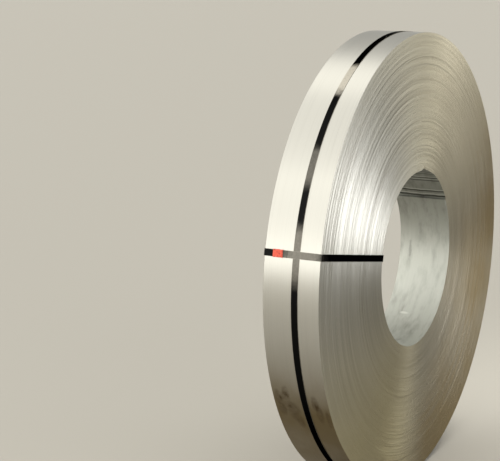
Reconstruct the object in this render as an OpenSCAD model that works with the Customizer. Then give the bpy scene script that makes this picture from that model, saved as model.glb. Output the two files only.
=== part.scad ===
// Narrow steel strip wound into a coil that stands on its rim, with one steel strap round the rim
// and one through the bore. Millimetres, bore axis along Y, visible end towards -Y, floor at Z = 0.

/* [Coil] */
// Bore diameter of the wound strip
bore_d = 508; // [300:1:760]
// Thickness of the strip
gauge = 2; // [1:0.1:4]
// Number of turns wound on top of each other
turns = 197; // [80:1:260]
// Width of the slit strip, end to end
strip_w = 159; // [60:1:320]

/* [Turns on the ends] */
// How far the winding wanders along the axis, each way
wander = 0.6; // [0.2:0.1:2]
// How far a proud band stands out of the visible end
proud = 1.2; // [0.4:0.1:3]
// Turns, counted from the bore, at which a proud band starts
proud_at = [36, 57, 71, 126, 152, 163];
// Number of turns in a proud band
proud_turns = 3; // [1:1:8]
// Smallest axial step from one turn to the next
turn_step = 0.1; // [0.05:0.05:0.3]

/* [Ends of the strip] */
// Angle at which the innermost lap ends
head_angle = 34; // [0:1:120]
// Laps that the wall steps back behind the innermost lap
head_laps = 2; // [1:1:3]
// Creases across the wall behind the innermost lap, measured from its end
head_creases = [5, 17.5, 28.5, 42];
// Angle behind the innermost lap at which the wall meets the bore again
head_run = 54; // [48:1:70]
// Angle at which the outermost lap ends
tail_angle = 62; // [0:1:120]
// Angle behind the outermost lap at which the rim is round again
tail_run = 50; // [20:1:80]

/* [Straps] */
// Width of the strapping
strap_w = 19; // [13:0.5:32]
// Thickness of the strapping
strap_t = 0.9; // [0.5:0.1:1.3]
// Distance of the rim strap from the middle of the width, towards the visible end
hoop_shift = 11.5; // [-15:0.5:15]
// Angle of the strap through the bore, 180 is level with the axis
eye_angle = 169; // [150:1:210]
// Free end of the strap beyond its seal
free_end = 12; // [5:1:20]

/* [Seals] */
// Length of a seal along the strap
seal_l = 28; // [20:1:40]
// Sheet thickness of a seal
seal_t = 0.8; // [0.5:0.1:1.2]
// Distance of the seal on the bore strap from the middle of the width, away from the visible end
eye_seal_shift = 40.5; // [36:0.5:44]
// Angle of the seal on the rim strap
hoop_seal_angle = 345; // [280:1:350]
// Radius of the crimped notches in the edges of a seal
crimp_r = 2.4; // [1.5:0.1:3.5]
// How far a crimped notch bites in past the folded edge
crimp_bite = 0.6; // [0.3:0.1:1]

/* [Clearance] */
// Gap between a strap and what it lies on
lie = 0.1; // [0.05:0.05:0.3]

/* [Hidden] */
$fn = 96;
bore_r = bore_d / 2;
coil_r = bore_r + turns * gauge;
half_w = strip_w / 2;
wide = strip_w + 8 * (wander + proud);

// Axial place of each turn: slow waves of the winding, proud bands, and a step at every turn.
wave_long = 4.1;
wave_mid = 13.7;
wave_short = 47;
function band(i) = len([for (p = proud_at) if (i >= p && i < p + proud_turns) p]) > 0 ? proud : 0;
function wave(i) = wander * (sin(i * wave_long) + sin(i * wave_mid) + sin(i * wave_short)) / 3;

// The turns that the ends of the strip step through lie flush with each other.
flush_in = head_laps + 1;
flush_out = 2;
steps = [0, each [flush_in : turns - flush_out], turns];
function shift(k) = turn_step * (2 * round((wave(steps[k]) + band(steps[k])) / (2 * turn_step)) + k % 2);
shifts = [for (k = [0 : len(steps) - 2]) shift(k)];
front = half_w + max(shifts);
back = half_w - min(shifts);

// Level of the rim strap, and of the bore strap where it passes over that strap and over its seal.
hoop_in = coil_r + lie;
hoop_out = hoop_in + strap_t;
seal_gap = lie / 2;
seal_lift = seal_t + lie + seal_gap;
eye_lift = max(strap_t + 2 * lie, seal_lift);
seal_stack = 2 * strap_t + 2 * seal_gap;
seal_w = strap_w + 2 * lie + 2 * seal_t;
seal_h = seal_stack + 2 * seal_t;
seal_round = 0.9 * seal_t;
seal_throat = 0.45 * strap_w;
hoop_flat = coil_r + seal_lift;
eye_flat = sqrt(bore_r * bore_r - strap_w * strap_w / 4) - lie;

function polar(r, a) = [r * cos(a), r * sin(a)];

// Axis from Z to Y, visible end to -Y, and the rim strap down on the floor.
module place() {
  translate([0, 0, hoop_out])
    rotate([90, 0, 0])
      children();
}

// Half section of the winding: every turn has the strip's width, moved along by its own shift.
module turns_section() {
  last = len(shifts) - 1;
  front_line = [for (i = [0 : last], k = [i, i + 1]) [bore_r + steps[k] * gauge, half_w + shifts[i]]];
  back_line = [for (i = [last : -1 : 0], k = [i + 1, i]) [bore_r + steps[k] * gauge, shifts[i] - half_w]];
  polygon(concat(front_line, back_line));
}

// Room behind the innermost lap, with a flat between each two creases.
module head_room() {
  deep = bore_r + head_laps * gauge;
  free = bore_r - 2 * head_laps * gauge;
  wall = [for (a = concat([0], head_creases)) polar(deep, head_angle + a)];
  meet = polar(bore_r, head_angle + head_run);
  polygon(concat(wall, [meet, polar(free, head_angle + head_run), polar(free, head_angle)]));
}

// Room behind the outermost lap: one gauge deep at its end and running out to the round rim.
module tail_room() {
  reach = 1.4 * coil_r;
  past = 8;
  slide = gauge / sin(tail_run);
  difference() {
    polygon([[0, 0], polar(reach, tail_angle - tail_run - past), polar(reach, tail_angle)]);
    translate(polar(slide, tail_angle - tail_run - 90))
      circle(coil_r);
  }
}

module coil() {
  color("#b9b7ac")
    place()
      difference() {
        rotate_extrude()
          turns_section();
        linear_extrude(wide, center = true)
          head_room();
        linear_extrude(wide, center = true)
          tail_room();
      }
}

// Face of the rim strap at one level: round, with straight runs up to the flat that the seal holds.
module hoop_face(r, flat) {
  corner = [hoop_flat, seal_l / 2 + lie];
  lean = atan2(corner.y, corner.x) + acos(hoop_in / norm(corner));
  top = [flat, (r - flat * cos(lean)) / sin(lean)];
  circle(r);
  polygon([[0, 0], polar(r, -lean), [top.x, -top.y], top, polar(r, lean)]);
}

module hoop_strap() {
  lap = seal_l + 2 * free_end;
  color("#1d1e20")
    place()
      translate([0, 0, hoop_shift])
        rotate([0, 0, hoop_seal_angle])
          linear_extrude(strap_w, center = true) {
            difference() {
              hoop_face(hoop_out, hoop_flat + strap_t);
              hoop_face(hoop_in, hoop_flat);
            }
            translate([hoop_flat + strap_t, -lap / 2])
              square([strap_t, lap]);
          }
}

// Inner line of the bore strap round the section: rim, far end, bore, visible end.
function eye_line() = [
  [coil_r + lie, front + lie],
  [coil_r + eye_lift, hoop_shift + strap_w / 2],
  [coil_r + eye_lift, -eye_seal_shift - seal_l / 2],
  [coil_r + lie, -back - lie],
  [eye_flat, -back - lie],
  [eye_flat, front + lie]
];

module eye_section() {
  line = eye_line();
  lap = seal_l + 2 * free_end;
  difference() {
    for (i = [0 : len(line) - 1]) {
      run = line[(i + 1) % len(line)] - line[i];
      translate(line[i]) {
        circle(strap_t);
        rotate(atan2(run.y, run.x))
          square([norm(run), strap_t]);
      }
    }
    polygon(line);
  }
  translate([coil_r + eye_lift + strap_t, -eye_seal_shift - lap / 2])
    square([strap_t, lap]);
}

module eye_strap() {
  color("#1d1e20")
    place()
      rotate([0, 0, eye_angle])
        rotate([90, 0, 0])
          linear_extrude(strap_w, center = true)
            eye_section();
}

module round_square(size, r) {
  translate([-size.x / 2 + r, 0])
    square([size.x - 2 * r, size.y]);
  translate([-size.x / 2, r])
    square([size.x, size.y - 2 * r]);
  for (x = [-1, 1], y = [r, size.y - r])
    translate([x * (size.x / 2 - r), y])
      circle(r);
}

// Seal as a folded sheet round two layers of strap, crimped at four places.
// Strap along Z, outside of the coil towards +Y, strap's underside at Y = 0.
module seal() {
  difference() {
    linear_extrude(seal_l, center = true)
      difference() {
        translate([0, -seal_t - seal_gap])
          round_square([seal_w, seal_h], seal_round);
        translate([-strap_w / 2 - lie, -seal_gap])
          square([strap_w + 2 * lie, seal_stack]);
        translate([-seal_throat / 2, -2 * seal_t])
          square([seal_throat, 2 * seal_t]);
      }
    for (x = [-1, 1], z = [-1, 1])
      translate([x * (strap_w / 2 + lie + crimp_r - crimp_bite), 0, z * seal_l / 4])
        rotate([90, 0, 0])
          cylinder(h = 4 * seal_h, r = crimp_r, center = true);
  }
}

module hoop_seal() {
  color("#c9402c")
    place()
      translate([0, 0, hoop_shift])
        rotate([0, 0, hoop_seal_angle])
          translate([hoop_flat, 0, 0])
            rotate([-90, 0, 0])
              rotate([0, 0, -90])
                seal();
}

module eye_seal() {
  color("#c9402c")
    place()
      rotate([0, 0, eye_angle])
        translate([coil_r + eye_lift, 0, -eye_seal_shift])
          rotate([0, 0, -90])
            seal();
}

coil();
hoop_strap();
hoop_seal();
eye_strap();
eye_seal();
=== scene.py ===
# %% [markdown]
# # A slit steel coil on its rim
# A steel mill slits a wide sheet into narrow strip and winds each strip into a coil like this one. The looks come
# from three things: a satin rim that mirrors the room, two ends where every turn shows its cut edge, and black
# strapping with a red crimped seal. The packed model gives the frame, so every piece below is placed in metres in
# that same frame.

import math

import bmesh
import bpy
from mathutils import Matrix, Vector


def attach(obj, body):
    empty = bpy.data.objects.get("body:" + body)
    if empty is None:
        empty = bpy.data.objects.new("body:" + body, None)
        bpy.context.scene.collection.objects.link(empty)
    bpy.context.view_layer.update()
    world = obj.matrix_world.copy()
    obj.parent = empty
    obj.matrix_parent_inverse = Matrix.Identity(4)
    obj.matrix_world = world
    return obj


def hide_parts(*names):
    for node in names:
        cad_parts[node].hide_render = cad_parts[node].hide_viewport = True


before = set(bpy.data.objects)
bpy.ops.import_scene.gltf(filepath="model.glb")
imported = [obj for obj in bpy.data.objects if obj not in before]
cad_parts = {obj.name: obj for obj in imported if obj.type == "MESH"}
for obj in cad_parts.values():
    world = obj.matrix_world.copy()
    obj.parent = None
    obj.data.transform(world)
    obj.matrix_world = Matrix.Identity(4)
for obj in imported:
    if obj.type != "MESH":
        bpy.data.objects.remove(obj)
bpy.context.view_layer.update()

# %% [markdown]
# ## Sizes
# The strip's sizes are the same as in the part's source. `AXIS_Z` is the height of the bore axis. Other sizes
# follow in the cells that need them, so that each step can be read by itself.

# %% Sizes of the strip
BORE_R = 0.254
GAUGE = 0.002
TURNS = 197
HALF_W = 0.0795
RIM_R = BORE_R + TURNS * GAUGE
AXIS_Z = 0.649


# %% [markdown]
# ## Points on the coil
# On a round thing a place is easiest to give by radius, angle and position along the axis. Angles are counted from
# +X towards +Z, as someone sees them who stands in front of the visible end, which faces -Y.

# %% Points by radius and angle
def on_coil(radius, degrees, y):
    a = math.radians(degrees)
    return Vector((radius * math.cos(a), y, AXIS_Z + radius * math.sin(a)))


def polar_of(co):
    return math.hypot(co.x, co.z - AXIS_Z), math.degrees(math.atan2(co.z - AXIS_Z, co.x)) % 360.0


def apart(one, two):
    """Signed degrees from angle two to angle one, the short way round."""
    return (one - two + 180.0) % 360.0 - 180.0


print("the top of the rim is at", tuple(round(c, 4) for c in on_coil(RIM_R, 90.0, 0.0)))


# %% [markdown]
# ## From a bmesh to a piece
# A piece starts as an empty bmesh and ends as an object that rides on the packed body. Everything here is round, so
# the main tool is spin: draw a section as a line of points and turn it once round the bore axis. A lathe works
# the same way, and a ring made like this closes without a seam once its doubles are merged.

# %% Spin and finish a piece
MERGE = 2e-4


def spin_round(bm, geom, angle, steps, merge):
    axis = {"cent": (0, 0, AXIS_Z), "axis": (0, -1, 0)}
    bmesh.ops.spin(bm, geom=geom, angle=angle, steps=steps, use_merge=merge, **axis)


def spun(points, steps):
    """A line of (radius, y) points turned once round the bore axis."""
    bm = bmesh.new()
    line = [bm.verts.new(on_coil(r, 0.0, y)) for r, y in points]
    edges = [bm.edges.new(pair) for pair in zip(line, line[1:])]
    spin_round(bm, line + edges, math.tau, steps, True)
    bmesh.ops.remove_doubles(bm, verts=bm.verts[:], dist=MERGE)
    for face in bm.faces:
        face.smooth = True
    return bm


def piece_from(bm, name, material, slot, *nodes):
    bmesh.ops.recalc_face_normals(bm, faces=bm.faces[:])
    mesh = bpy.data.meshes.new(name)
    bm.to_mesh(mesh)
    bm.free()
    mesh.materials.append(material)
    piece = bpy.data.objects.new(name, mesh)
    bpy.context.scene.collection.objects.link(piece)
    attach(piece, "root")
    if nodes:
        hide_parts(*nodes)
    mesh.calc_loop_triangles()
    print(name, "has", len(mesh.loop_triangles), "triangles")


print("doubles closer than", MERGE, "m are merged, a tenth of the gauge")


# %% [markdown]
# ## Shader sums
# A shader graph is a sum in disguise, so this small class lets it be written as one. It wraps a socket, and the
# operators make the nodes: plain numbers go through Math, vectors through Vector Math and colours through Mix.

# %% Shader sums
class Wire:
    def __init__(self, socket):
        self.socket = socket

    def node(self, kind, settings=None, sockets=None, out=0):
        """Any other node: its type, its settings, and what goes into its sockets."""
        tree = self.socket.id_data
        made = tree.nodes.new(kind)
        for name, value in (settings or {}).items():
            setattr(made, name, value)
        for key, value in (sockets or {}).items():
            if isinstance(value, Wire):
                tree.links.new(value.socket, made.inputs[key])
            else:
                made.inputs[key].default_value = value
        return Wire(made.outputs[out])

    def sum(self, word, a, b=0.0):
        kinds = {v.socket.type for v in (a, b) if isinstance(v, Wire)}
        if "RGBA" in kinds:
            return self.node("ShaderNodeMix", {"data_type": "RGBA", "blend_type": word}, {0: 1.0, 6: a, 7: b}, 2)
        if "VECTOR" in kinds:
            return self.node("ShaderNodeVectorMath", {"operation": word}, {0: a, 1: b})
        return self.node("ShaderNodeMath", {"operation": word}, {0: a, 1: b})

    def __add__(self, other):
        return self.sum("ADD", self, other)

    def __radd__(self, other):
        return self.sum("ADD", other, self)

    def __sub__(self, other):
        return self.sum("SUBTRACT", self, other)

    def __rsub__(self, other):
        return self.sum("SUBTRACT", other, self)

    def __mul__(self, other):
        return self.sum("MULTIPLY", self, other)

    def __rmul__(self, other):
        return self.sum("MULTIPLY", other, self)

    def __truediv__(self, other):
        return self.sum("DIVIDE", self, other)

    def max(self, other):
        return self.sum("MAXIMUM", self, other)

    def math(self, word, other=0.0):
        """A Math node without an operator of its own, such as FLOOR."""
        return self.node("ShaderNodeMath", {"operation": word}, {0: self, 1: other})

    def length(self):
        return self.node("ShaderNodeVectorMath", {"operation": "LENGTH"}, {0: self}, 1)

    def axis(self, letter):
        return self.node("ShaderNodeSeparateXYZ", {}, {0: self}, "XYZ".index(letter))

    def ramp(self, low, high):
        """0 below low, 1 above high, and smooth between."""
        ends = {"Value": self, "From Min": low, "From Max": high}
        return self.node("ShaderNodeMapRange", {"interpolation_type": "SMOOTHSTEP"}, ends)

    def mix(self, a, b):
        """a where this is 0 and b where it is 1; colours."""
        return self.node("ShaderNodeMix", {"data_type": "RGBA"}, {0: self, 6: a, 7: b}, 2)

    def noise(self, scale, detail=3.0, rough=0.5):
        """Noise of this vector, about 0.5 on average."""
        sizes = {"Vector": self, "Scale": scale, "Detail": detail, "Roughness": rough}
        return self.node("ShaderNodeTexNoise", {}, sizes)

    def white(self):
        """A random number for each whole value of this one."""
        return self.node("ShaderNodeTexWhiteNoise", {"noise_dimensions": "1D"}, {"W": self})


print("a Wire can", [name for name in vars(Wire) if not name.startswith("_")])

# %% [markdown]
# ## A plain material to start from
# Every finish starts from the same Principled shader and from Object coordinates. Those stay with the steel when
# the camera moves, which a pattern on the picture would not do.

# %% New material
BLACK = (0.0, 0.0, 0.0, 1.0)


def new_material(name, color, metallic, roughness):
    """A Principled material, its shader, and the Wire of its Object coordinates."""
    material = bpy.data.materials.new(name)
    material.use_nodes = True
    shader = material.node_tree.nodes["Principled BSDF"]
    shader.inputs["Base Color"].default_value = color
    shader.inputs["Metallic"].default_value = metallic
    shader.inputs["Roughness"].default_value = roughness
    place = material.node_tree.nodes.new("ShaderNodeTexCoord").outputs["Object"]
    return material, shader, Wire(place)


def plug(shader, name, wire):
    shader.id_data.links.new(wire.socket, shader.inputs[name])


def finished(material):
    print(material.name, "has", len(material.node_tree.nodes), "nodes")
    return material


print("materials so far, from the packed model:", len(bpy.data.materials))


# %% [markdown]
# ## Where the marks are
# Stains belong to a place on the coil, so a mark is a soft blob round a point in the object's own coordinates, with
# its edge broken up by noise. Painting a mask by hand would need an image, and a blob needs only a point and three
# sizes. The same function serves the rim, the straps and the bore.

# %% Marks
BLOB_CORE = 0.45


def blob(place, centre, reach, ragged=0.35, scale=30.0):
    """1 at the centre and 0 beyond its reach (three half sizes), with a ragged edge."""
    distance = ((place - tuple(centre)) * tuple(1.0 / r for r in reach)).length()
    return 1.0 - (distance + (place.noise(scale) - 0.5) * 2.0 * ragged).ramp(BLOB_CORE, 1.0)


def pulse(value, at, half):
    """1 where the value is at, and 0 more than half away from it."""
    return 1.0 - (value - at).math("ABSOLUTE").ramp(half * 0.3, half)


print("a mark is solid within", BLOB_CORE, "of its reach and fades beyond")

# %% [markdown]
# ## The strip's face
# Cold rolled strip is satin: a mirror with a soft blur and faint lines along the rolling direction. On the rim
# those lines run round the coil, so the noise is squeezed hard along the axis and left long round the rim. Low
# down the steel is painted darker and browner, a painted reflection of the brown floor, with brown smears on it.

# %% Rim finish
STEEL = (0.50, 0.49, 0.455, 1.0)
FLOOR_REFLECTION_BROWN = (0.16, 0.122, 0.062, 1.0)
BROWN = (0.075, 0.050, 0.025, 1.0)
# Each smear: angle on the rim, place along the axis, half its width, half its height.
RIM_SPOTS = (
    (203.0, 0.039, 0.014, 0.026),
    (204.8, 0.066, 0.014, 0.030),
    (208.6, 0.060, 0.014, 0.026),
    (205.6, 0.045, 0.022, 0.034),
    (209.0, 0.026, 0.022, 0.040),
    (212.0, 0.014, 0.014, 0.026),
    (205.6, -0.040, 0.012, 0.030),
    (208.6, -0.048, 0.013, 0.048),
    (209.8, -0.071, 0.008, 0.036),
)


def rim_finish():
    material, shader, place = new_material("strip_face", STEEL, 1.0, 0.3)
    lines = (place * (1.5, 260.0, 1.5)).noise(1.0, 4.0)
    clouds = place.noise(7.0, 4.0)
    # Painted reflection: low down the rim is painted darker and browner, standing in for the brown floor it
    # mirrors.
    painted_darkening = (1.0 - place.axis("Z").ramp(0.28, 0.60)) * (0.65 + clouds * 0.7)
    spots = 0.0
    for angle, y, wide, tall in RIM_SPOTS:
        spots = spots + blob(place, on_coil(RIM_R, angle, y), (0.06, wide, tall), 0.5, 28.0) * 0.6
    speck = place.noise(48.0, 4.0, 0.65).ramp(0.3, 0.7)
    tint = painted_darkening.mix((lines * 0.25 + 0.875).mix(BLACK, STEEL), FLOOR_REFLECTION_BROWN)
    plug(shader, "Base Color", (spots * (0.25 + speck * 0.75)).mix(tint, BROWN))
    plug(shader, "Roughness", 0.24 + lines * 0.12 + painted_darkening * 0.08 + spots * 0.12)
    return finished(material)


rim_steel = rim_finish()

# %% [markdown]
# ## The cut edges
# On the ends each turn shows its slit edge. Some turns are brighter and some darker, so every turn gets its own
# random number from its count, and wider bands come from noise that changes only with the radius. The foot is
# painted yellower as a painted reflection of the floor, and one flank is browner. Just below the strap over this
# end the steel is painted duller as painted shade, and the upper right is painted paler as painted light. Each of
# these is a soft mask made from the height and the side.

# %% End finish
CUT_STEEL = (0.305, 0.292, 0.246, 1.0)
FLOOR_REFLECTION_OLIVE = (0.44, 0.40, 0.265, 1.0)
PAINTED_LIGHT_TONE = (0.56, 0.533, 0.452, 1.0)
PAINTED_SHADE_TONE = (0.13, 0.125, 0.105, 1.0)
FLANK_BROWN = (0.185, 0.138, 0.068, 1.0)
EDGE_SHEEN = (0.6, 0.56, 0.48, 1.0)
EYE_ANGLE = 169.0
EYE_TANGENT = on_coil(1.0, EYE_ANGLE + 90.0, 0.0) - Vector((0.0, 0.0, AXIS_Z))


def past_eye_strap(place):
    """Distance from the middle line of the strap through the bore, positive below it."""
    return place.axis("X") * EYE_TANGENT.x + (place.axis("Z") - AXIS_Z) * EYE_TANGENT.z


def end_finish():
    material, shader, place = new_material("turn_edges", STEEL, 1.0, 0.36)
    shader.inputs["Specular Tint"].default_value = EDGE_SHEEN
    side, up = place.axis("X"), place.axis("Z")
    count = ((place * (1.0, 0.0, 1.0) - (0.0, 0.0, AXIS_Z)).length() - BORE_R) / GAUGE
    own = count.math("FLOOR").white()
    bands = count.node("ShaderNodeTexNoise", {"noise_dimensions": "1D"}, {"W": count, "Scale": 0.11, "Detail": 5.0})
    patches = place.noise(4.0, 3.0)
    tone = 0.72 + own * 0.16 + bands.ramp(0.3, 0.7) * 0.16 + patches * 0.08
    # Painted reflection: the foot, low and to the left, is painted yellower, as where it would mirror the floor.
    painted_floor_reflection = (1.0 - up.ramp(0.08, 0.58)) * (1.0 - side.ramp(-0.22, 0.08)) * (0.5 + patches)
    # Painted light: the upper right is painted paler.
    painted_upper_light = up.ramp(0.62, 1.0) * side.ramp(0.0, 0.3) * (0.6 + patches * 0.8)
    below = past_eye_strap(place)
    # Painted shade: a band just below the strap is painted duller.
    painted_darkening = below.ramp(-0.003, 0.003) * (1.0 - below.ramp(0.05, 0.30)) * (1.0 - side.ramp(-0.25, 0.0))
    # One flank, to the right and lower down, is painted browner.
    flank = (side * 0.9 - up * 0.5).ramp(-0.3, 0.25)
    flank = flank.max((1.0 - up.ramp(0.1, 0.42)) * side.ramp(-0.12, 0.14))
    flank_brown = flank * (0.55 + (patches + bands * 0.5).ramp(0.5, 0.95) * 0.45)
    tint = (painted_floor_reflection * 0.8).mix(tone.mix(BLACK, CUT_STEEL), FLOOR_REFLECTION_OLIVE)
    tint = (painted_darkening * 0.6).mix((painted_upper_light * 0.9).mix(tint, PAINTED_LIGHT_TONE), PAINTED_SHADE_TONE)
    plug(shader, "Base Color", (flank_brown * 0.85).mix(tint, FLANK_BROWN))
    plug(shader, "Roughness", 0.3 + own * 0.08 + flank_brown * 0.08)
    return finished(material)


edge_steel = end_finish()

# %% [markdown]
# ## The bore wall
# The inside of the bore is the same strip, rubbed matt by the mandrel. Smudges are drawn out round the bore, and
# behind the innermost lap the sheet is creased, so a painted shadow lies as a thin dark line at a few angles, each
# with a painted highlight on the fold beside it. The recess behind the lap and the top and bottom of the bore are
# painted darker, as painted shade. The creases follow the angle round the axis, with a little noise so that they
# aren't ruled lines.

# %% Bore finish
BORE_STEEL = (0.53, 0.54, 0.50, 1.0)
SMUDGE_AND_SHADE = (0.12, 0.12, 0.10, 1.0)
FOLD_HIGHLIGHT_AND_SCRATCH = (0.66, 0.66, 0.62, 1.0)
CREASE_SHADOW_AND_SCUFF = (0.035, 0.033, 0.028, 1.0)
CREASES = (35.4, 39.8, 52.0, 56.0, 63.0, 69.0, 76.0, 82.0)


def bore_finish():
    material, shader, place = new_material("bore_face", STEEL, 1.0, 0.5)
    lines = (place * (2.0, 180.0, 2.0)).noise(1.0, 3.0)
    clouds = place.noise(9.0, 4.0)
    streaks = (place * (13.0, 42.0, 13.0)).noise(1.0, 5.0, 0.6).ramp(0.42, 0.82)
    wobble = (place * (3.0, 14.0, 3.0)).noise(1.0, 2.0)
    angle = (place.axis("Z") - AXIS_Z).math("ARCTAN2", place.axis("X")) * (180.0 / math.pi) + (wobble - 0.5) * 3.0
    dark, bright = 0.0, 0.0
    # Painted shadow and highlight: each crease gets a dark line, and the fold beside it a paler one.
    for at in CREASES:
        dark = dark + pulse(angle, at, 1.0)
        bright = bright + pulse(angle, at + 1.5, 0.7)
    # Painted shade: the recess behind the innermost lap and the top and bottom of the bore are painted darker.
    recess_shade = angle.ramp(33.0, 36.0) * (1.0 - angle.ramp(84.0, 92.0))
    scuff = blob(place, on_coil(BORE_R, 352.5, 0.047), (0.03, 0.006, 0.040), 0.6, 70.0)
    scratch = blob(place, on_coil(BORE_R, 306.0, 0.020), (0.03, 0.018, 0.003), 0.4, 60.0)
    painted_shade_top_bottom = angle.ramp(-12.0, 30.0) * 0.3 + (1.0 - angle.ramp(-72.0, -30.0)) * 0.42
    tint = (lines * 0.12 + clouds * 0.2 + 0.8).mix(BLACK, BORE_STEEL)
    tint = (recess_shade * 0.22 + painted_shade_top_bottom + streaks * 0.4).mix(tint, SMUDGE_AND_SHADE)
    tint = (bright * 0.5 + scratch * 0.5).mix(tint, FOLD_HIGHLIGHT_AND_SCRATCH)
    plug(shader, "Base Color", (dark * 0.8).max(scuff * 0.3).mix(tint, CREASE_SHADOW_AND_SCUFF))
    plug(shader, "Roughness", 0.46 + clouds * 0.2)
    return finished(material)


bore_steel = bore_finish()

# %% [markdown]
# ## Strapping
# Steel strapping is blued and waxed, a dark metal with a dark sheen at its edges too. It is slit from sheet, so its
# edges are bare steel, and where the two straps cross the black is rubbed off, with a painted reflection there as
# well. Higher up the hoop, paler patches are painted glints. One finish serves both straps: each says how far a
# point lies from its middle line, and where it has rubs and painted glints.

# %% Strap finish
STRAP_W = 0.019
HOOP_Y = -0.0115
BLUED = (0.008, 0.008, 0.008, 1.0)
BLUED_SHEEN = (0.1, 0.1, 0.1, 1.0)
BARE_AND_GLINT = (0.42, 0.395, 0.345, 1.0)
# Each patch, a painted glint or a rub with a painted reflection: angle on the rim, place along the axis, reach, and
# how bare or bright it is.
HOOP_GLINTS_AND_RUBS = (
    (122.6, HOOP_Y, (0.09, 0.05, 0.063), 1.0),
    (148.5, HOOP_Y, (0.06, 0.05, 0.075), 0.25),
    (169.0, HOOP_Y, (0.06, 0.05, 0.10), 0.32),
)
EYE_GLINTS_AND_RUBS = ((169.0, -0.028, (0.06, 0.07, 0.06), 0.32),)


def strap_finish(name, across, glints_and_rubs):
    """across gives the distance from the strap's middle line; the last argument lists where the black is rubbed and
    where glints are painted.
    """
    material, shader, place = new_material(name, BLUED, 1.0, 0.3)
    shader.inputs["Specular Tint"].default_value = BLUED_SHEEN
    grain = place.noise(150.0, 4.0)
    bare_and_glints = across(place).math("ABSOLUTE").ramp(STRAP_W * 0.46, STRAP_W * 0.49) * 0.7
    # Painted glints: the patches higher up the hoop are paler only as painted glints; at the crossing the paler
    # patch is rubbed black with a painted reflection.
    for angle, y, reach, much in glints_and_rubs:
        bare_and_glints = bare_and_glints.max(blob(place, on_coil(RIM_R, angle, y), reach, 0.25, 40.0) * much)
    plug(shader, "Base Color", (bare_and_glints * (0.6 + grain * 0.8)).mix(BLUED, BARE_AND_GLINT))
    plug(shader, "Roughness", 0.26 + grain * 0.12)
    return finished(material)


hoop_paint = strap_finish("hoop_paint", lambda place: place.axis("Y") - HOOP_Y, HOOP_GLINTS_AND_RUBS)
eye_paint = strap_finish("eye_paint", past_eye_strap, EYE_GLINTS_AND_RUBS)

# %% [markdown]
# ## Seals
# A seal is a short sleeve of painted sheet that a crimping tool bites into the strap. The paint is red, and darker
# where the tool bit it. Paint isn't metal, so this is the one finish with Metallic at 0. The straps and seals have
# their full shape in the CAD nodes, so those stay as they are and only get their finish.

# %% Seal finish, and dressing the four nodes
SEAL_RED = (0.66, 0.09, 0.05, 1.0)
SEAL_BITTEN = (0.30, 0.035, 0.025, 1.0)


def seal_finish():
    material, shader, place = new_material("seal_paint", SEAL_RED, 0.0, 0.38)
    shader.inputs["Specular IOR Level"].default_value = 0.3
    bites = place.noise(170.0, 3.0).ramp(0.46, 0.66)
    plug(shader, "Base Color", (bites * 0.7).mix(SEAL_RED, SEAL_BITTEN))
    plug(shader, "Roughness", 0.34 + bites * 0.2)
    return finished(material)


seal_paint = seal_finish()
dressed = {"hoop_strap": hoop_paint, "eye_strap": eye_paint, "hoop_seal": seal_paint, "eye_seal": seal_paint}
for node, material in dressed.items():
    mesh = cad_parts[node].data
    mesh.materials.clear()
    mesh.materials.append(material)
    print(node, "is dressed in", material.name)

# %% [markdown]
# ## Place of each turn
# The winding wanders a little along the axis, and some bands of turns stand proud. The rule is the one in the
# part's source, so the relief lies where the solid has it. Only the proud bands are half as high, because a crowned
# edge catches the light on a finer step than the solid's plain one.

# %% Shifts of the turns
SHIFT_STEP = 0.0001
WANDER, WANDER_RATES = 0.0006, (4.1, 13.7, 47.0)
PROUD_FROM, PROUD_HEIGHTS = (36, 57, 71, 126, 152, 163), (0.0003, 0.0006, 0.0003)


def shift(i):
    wave = WANDER * sum(math.sin(math.radians(i * k)) for k in WANDER_RATES) / 3.0
    proud = max([0.0] + [PROUD_HEIGHTS[i - p] for p in PROUD_FROM if p <= i < p + 3])
    return SHIFT_STEP * (2 * round((wave + proud) / (2 * SHIFT_STEP)) + i % 2)


shifts = [shift(0 if i < 3 else min(i, TURNS - 2)) for i in range(TURNS)]
print("turns move from", round(min(shifts), 4), "to", round(max(shifts), 4), "m along the axis")

# %% [markdown]
# ## The innermost turn
# The strip's inner end was gripped in the mandrel, so behind it the wall steps back by two gauges and is bent into
# flats between creases, with one kink near the top. Both the ends and the bore wall need this, so it is a function
# of the angle.

# %% Wall behind the inner end
HEAD_ANGLE, HEAD_RUN = 34.0, 54.0
HEAD_CREASES = (0.0, 5.0, 17.5, 28.5, 42.0)
HEAD_DEEP = 2 * GAUGE
KINK_AT, KINK_HALF, KINK_DEEP = 82.0, 4.0, 0.005


def head_set_back(degrees):
    """How far the wall lies behind the bore's own radius."""
    a = (degrees - HEAD_ANGLE) % 360.0
    if not 0.0 < a < HEAD_RUN:
        return 0.0
    for left, right in zip(HEAD_CREASES, HEAD_CREASES[1:]):
        if left <= a <= right:
            half = math.radians(right - left) / 2
            return (BORE_R + HEAD_DEEP) * math.cos(half) / math.cos(math.radians(a - left) - half) - BORE_R
    kink = max(0.0, 1.0 - abs(degrees % 360.0 - KINK_AT) / KINK_HALF)
    return HEAD_DEEP * (HEAD_RUN - a) / (HEAD_RUN - HEAD_CREASES[-1]) + KINK_DEEP * kink


print("the kink is", round(head_set_back(KINK_AT) * 1000, 1), "mm deep")

# %% [markdown]
# ## The two ends
# Each end is one line spun round the axis: a crown for every turn and a groove between two turns. A crown in place
# of a flat edge matters, because rounded edges spread a light along the radius and make the bright fan of a wound
# coil. A slitter rolls one side of the cut over, so the crown lies nearer the bore and most of each edge leans
# outwards, by an amount of its own. Crowns and grooves are marked sharp, so each turn catches the light at its own
# angle.

# %% Turns on the ends
DIP, CROWN = 0.0005, 1.2
END_STEPS = 180
FADE_TURNS = 8
GOLDEN = 0.618


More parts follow.
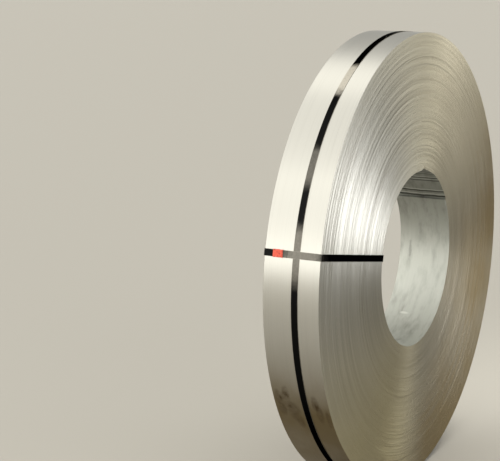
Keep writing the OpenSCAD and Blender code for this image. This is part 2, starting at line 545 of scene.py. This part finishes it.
def edge_dip(i):
    """How deep a turn's edge rolls over: its own amount, most near the middle of the end."""
    out = i / TURNS
    return DIP * (0.83 + (i * GOLDEN) % 1.0 * 0.34) * (0.80 + 0.75 * out - 0.90 * out * out)


def end_line(side):
    """side is -1 for the visible end and 1 for the other."""
    def level(s):
        return side * HALF_W - s

    points = [(BORE_R, level(shifts[0]) - side * DIP)]
    for i in range(TURNS):
        dip = edge_dip(i)
        between = (shifts[i] + shifts[min(i + 1, TURNS - 1)]) / 2
        points.append((BORE_R + i * GAUGE + CROWN * dip, level(shifts[i])))
        points.append((BORE_R + (i + 1) * GAUGE, level(between) - side * dip))
    return points


def end_piece(name, side):
    bm = spun(end_line(side), END_STEPS)
    for edge in bm.edges:
        r0, r1 = (polar_of(v.co)[0] for v in edge.verts)
        if abs(r0 - r1) < GAUGE / 20:
            edge.smooth = False
    for vert in bm.verts:
        r, a = polar_of(vert.co)
        fade = max(0.0, 1.0 - (r - BORE_R) / (FADE_TURNS * GAUGE))
        if fade > 0.0:
            vert.co = on_coil(r + head_set_back(a) * fade, a, vert.co.y)
    piece_from(bm, name, edge_steel, "strip_steel", "coil")


end_piece("turns_front", -1)
end_piece("turns_back", 1)


# %% [markdown]
# ## Rim and bore wall
# Both are plain round walls with a small rolled-over edge, spun like the ends. Two rows lie close to each edge, so
# that smooth shading stays flat up to it. Behind the end of a lap the wall steps back, and the edges of that step
# are marked sharp, or its shade would smear along the rim.

# %% Walls with a step
EDGE, ROLL = 0.0004, DIP * 0.2
WALL_STEPS = 360
WALL_ROWS = 6
# Degrees: the width of a step, and how near an angle counts as the same.
STEP_WIDE, NEAR = 0.05, 0.01


def wall_line(r, way, s):
    """way is 1 where the edge rolls outwards and -1 where it rolls inwards; s is the shift of that turn."""
    front, back = -(HALF_W + s), HALF_W - s
    inner = [front + (back - front) * k / WALL_ROWS for k in range(1, WALL_ROWS)]
    ys = [front + EDGE, front + 3 * EDGE, *inner, back - 3 * EDGE, back - EDGE]
    return [(r + way * EDGE, front + ROLL)] + [(r, y) for y in ys] + [(r + way * EDGE, back - ROLL)]


def step_wall(bm, at, set_back):
    """Moves the wall by set_back(angle), with a clean, sharp step at one angle."""
    for vert in bm.verts:
        r, a = polar_of(vert.co)
        if abs(apart(a, at + 360.0 / WALL_STEPS)) < NEAR:
            a = at + STEP_WIDE
        vert.co = on_coil(r + set_back(a), a, vert.co.y)
    for edge in bm.edges:
        if all(abs(apart(polar_of(v.co)[1], at)) < STEP_WIDE + NEAR for v in edge.verts):
            edge.smooth = False


print("a wall has", WALL_STEPS, "steps, and its step is", STEP_WIDE, "degrees wide")

# %% [markdown]
# ## The rim
# The outer end of the strip lies on the hidden side of the rim, under the strap. Behind it the rim steps down by
# one gauge and comes back to its full radius over a part of a turn, as in the part's source.

# %% Rim
TAIL_ANGLE, TAIL_RUN = 62.0, 50.0


def tail_set_back(degrees):
    a = (degrees - (TAIL_ANGLE - TAIL_RUN)) % 360.0
    return -GAUGE * math.sin(math.radians(a)) / math.sin(math.radians(TAIL_RUN)) if 0.0 < a <= TAIL_RUN else 0.0


bm = spun(wall_line(RIM_R, -1, shifts[-1]), WALL_STEPS)
step_wall(bm, TAIL_ANGLE, tail_set_back)
piece_from(bm, "strip_rim", rim_steel, "strip_steel", "coil")

# %% [markdown]
# ## The bore
# The bore wall is spun in the same way and then moved back behind the inner end by the function that the ends use
# too, so the two meet at the edge of the bore.

# %% Bore
bm = spun(wall_line(BORE_R, 1, shifts[0]), WALL_STEPS)
step_wall(bm, HEAD_ANGLE, head_set_back)
piece_from(bm, "strip_bore", bore_steel, "strip_steel", "coil")

# %% [markdown]
# ## The innermost end
# The last bit of strip springs off the wall a little at its cut end. It is a thin curved sheet that leaves the wall
# slowly and stands a few millimetres clear at its end. Its section is a rectangle of four points, spun over the
# length of the lap and closed at both ends, and each point is then lifted by the square of how far along it lies.

# %% Innermost lap
LIFT, LAP_RUN, LAP_STEPS = 0.004, 34.0, 34
SEAT, INSET = 0.0002, 0.0004
lap_start = HEAD_ANGLE - LAP_RUN
lap_r, lap_y = BORE_R - SEAT, HALF_W - INSET
corners = ((lap_r, -lap_y), (lap_r, lap_y), (lap_r + GAUGE, lap_y), (lap_r + GAUGE, -lap_y))
bm = bmesh.new()
section = [bm.verts.new(on_coil(r, lap_start, y)) for r, y in corners]
sides = [bm.edges.new(pair) for pair in zip(section, section[1:] + section[:1])]
spin_round(bm, section + sides, math.radians(LAP_RUN), LAP_STEPS, False)
bmesh.ops.holes_fill(bm, edges=[edge for edge in bm.edges if edge.is_boundary], sides=4)
for vert in bm.verts:
    r, a = polar_of(vert.co)
    along = apart(a, lap_start) / LAP_RUN
    vert.co = on_coil(r - LIFT * along * along, a, vert.co.y)
piece_from(bm, "head_lap", bore_steel, "strip_steel")

# %% [markdown]
# ## Floor
# A plain pale floor, warm enough for the lower rim to mirror. It is one round sheet, so wide that no view from
# above the horizon shows its end.

# %% Floor
FLOOR_R = 240.0
FLOOR_TONE = (0.39, 0.371, 0.336, 1.0)
bm = bmesh.new()
bmesh.ops.create_circle(bm, cap_ends=True, segments=96, radius=FLOOR_R)
mesh = bpy.data.meshes.new("floor")
bm.to_mesh(mesh)
bm.free()
floor = bpy.data.objects.new("floor", mesh)
bpy.context.scene.collection.objects.link(floor)
floor_paint, _, _ = new_material("floor_paint", FLOOR_TONE, 0.0, 0.9)
mesh.materials.append(floor_paint)
print("the floor is", 2 * FLOOR_R, "m across")

# %% [markdown]
# ## The room
# Metal shows what stands round it, so the world isn't one grey but a simple room: an open, bright side that the rim
# faces, brightest near the horizon, and a glow on the far side that the turns mirror at the top. All of it is soft,
# and it is made from the direction alone.

# %% World
ROOM = (1.0, 0.988, 0.925, 1.0)
world = bpy.data.worlds.new("studio")
bpy.context.scene.world = world
world.use_nodes = True
background = world.node_tree.nodes["Background"]
sky = Wire(world.node_tree.nodes.new("ShaderNodeTexCoord").outputs["Generated"])
right, away, up = (sky.axis(letter) for letter in "XYZ")
open_side = (right * -0.93 + away * 0.36 + up * 0.5).ramp(-0.35, 0.35)
horizon = open_side * (1.0 - up.ramp(0.0, 0.32))
glow = (right * 0.97 + away * -0.24).ramp(0.9, 1.0)
dome = (open_side * 1.35 * (1.0 - up.ramp(0.55, 0.95) * 0.28)).max(up.ramp(0.2, 0.8) * 0.25)
plug(background, "Strength", 0.48 + dome + glow * 2.4 + horizon * 1.3)
background.inputs["Color"].default_value = ROOM
print("the room takes", len(world.node_tree.nodes), "nodes")

# %% [markdown]
# ## Lamps
# A few soft area lamps do the rest. The front lamp makes the bright fan: its grid keeps it off the floor, and the
# turns lean just so that they send it to the camera. The top and fan lamps fill in, and the side and foot lamps
# light the floor where the coil mirrors it. A grid makes a lamp brighter as it narrows, so the helper takes that
# out again, and a lamp is given by how bright it looks.

# %% Lamps
WARM, COOL = (1.0, 0.98, 0.90), (0.93, 0.97, 1.08)


def lamp(name, place, size, radiance, spread, color, target=(0.0, 0.0, 0.65)):
    """A soft lamp, as bright as radiance says from straight ahead, that lights only within spread degrees."""
    light = bpy.data.lights.new(name, "AREA")
    light.shape = "RECTANGLE"
    light.size, light.size_y = size
    half = math.radians(spread) / 2
    light.energy = radiance * math.pi * size[0] * size[1] * (1.0 - half / math.tan(half))
    light.spread = 2 * half
    light.color = color
    made = bpy.data.objects.new(name, light)
    made.location = place
    made.rotation_euler = (Vector(target) - Vector(place)).to_track_quat("-Z", "Y").to_euler()
    bpy.context.scene.collection.objects.link(made)
    print(name, "gives", round(light.energy, 1), "W")


lamp("top_lamp", (0.8, 1.5, 4.1), (1.4, 1.4), 0.6, 120.0, WARM)
lamp("front_lamp", (1.5, -3.9, 0.9), (1.8, 1.2), 12.5, 38.0, COOL, (-0.4, 0.0, 0.95))
lamp("fan_lamp", (2.9, -3.0, 1.3), (2.0, 1.3), 0.9, 60.0, COOL, (0.0, 0.0, 0.9))
lamp("side_lamp", (-5.4, 2.5, 3.8), (5.0, 5.0), 2.0, 110.0, WARM, (-5.4, 2.5, 0.0))
lamp("foot_lamp", (1.1, -0.7, 2.6), (1.0, 1.0), 12.0, 60.0, WARM, (0.75, -0.45, 0.0))

# %% [markdown]
# ## Camera
# The camera stands where a fit to the bore and rim ellipses puts it: to the left of the visible end, a little above
# the axis, with a long lens. The picture is shown as it is, with the Standard view.

# %% Camera
SENSOR, LENS = 36.0, 110.25
CAMERA_AT = Vector((-4.0188, -1.7192, AXIS_Z + 0.9422))
CAMERA_LOOK = Vector((0.86132, 0.469, -0.19538))
camera = bpy.data.objects.new("camera", bpy.data.cameras.new("camera"))
bpy.context.scene.collection.objects.link(camera)
camera.data.sensor_width = SENSOR
camera.data.lens = LENS
camera.location = CAMERA_AT
camera.rotation_euler = CAMERA_LOOK.to_track_quat("-Z", "Y").to_euler()
bpy.context.scene.camera = camera
bpy.context.scene.view_settings.view_transform = "Standard"
print("lens", LENS, "mm, camera at", tuple(round(c, 3) for c in CAMERA_AT))

# %% [markdown]
# ## Finish
# The dressed coil must not be bigger than the packed model.
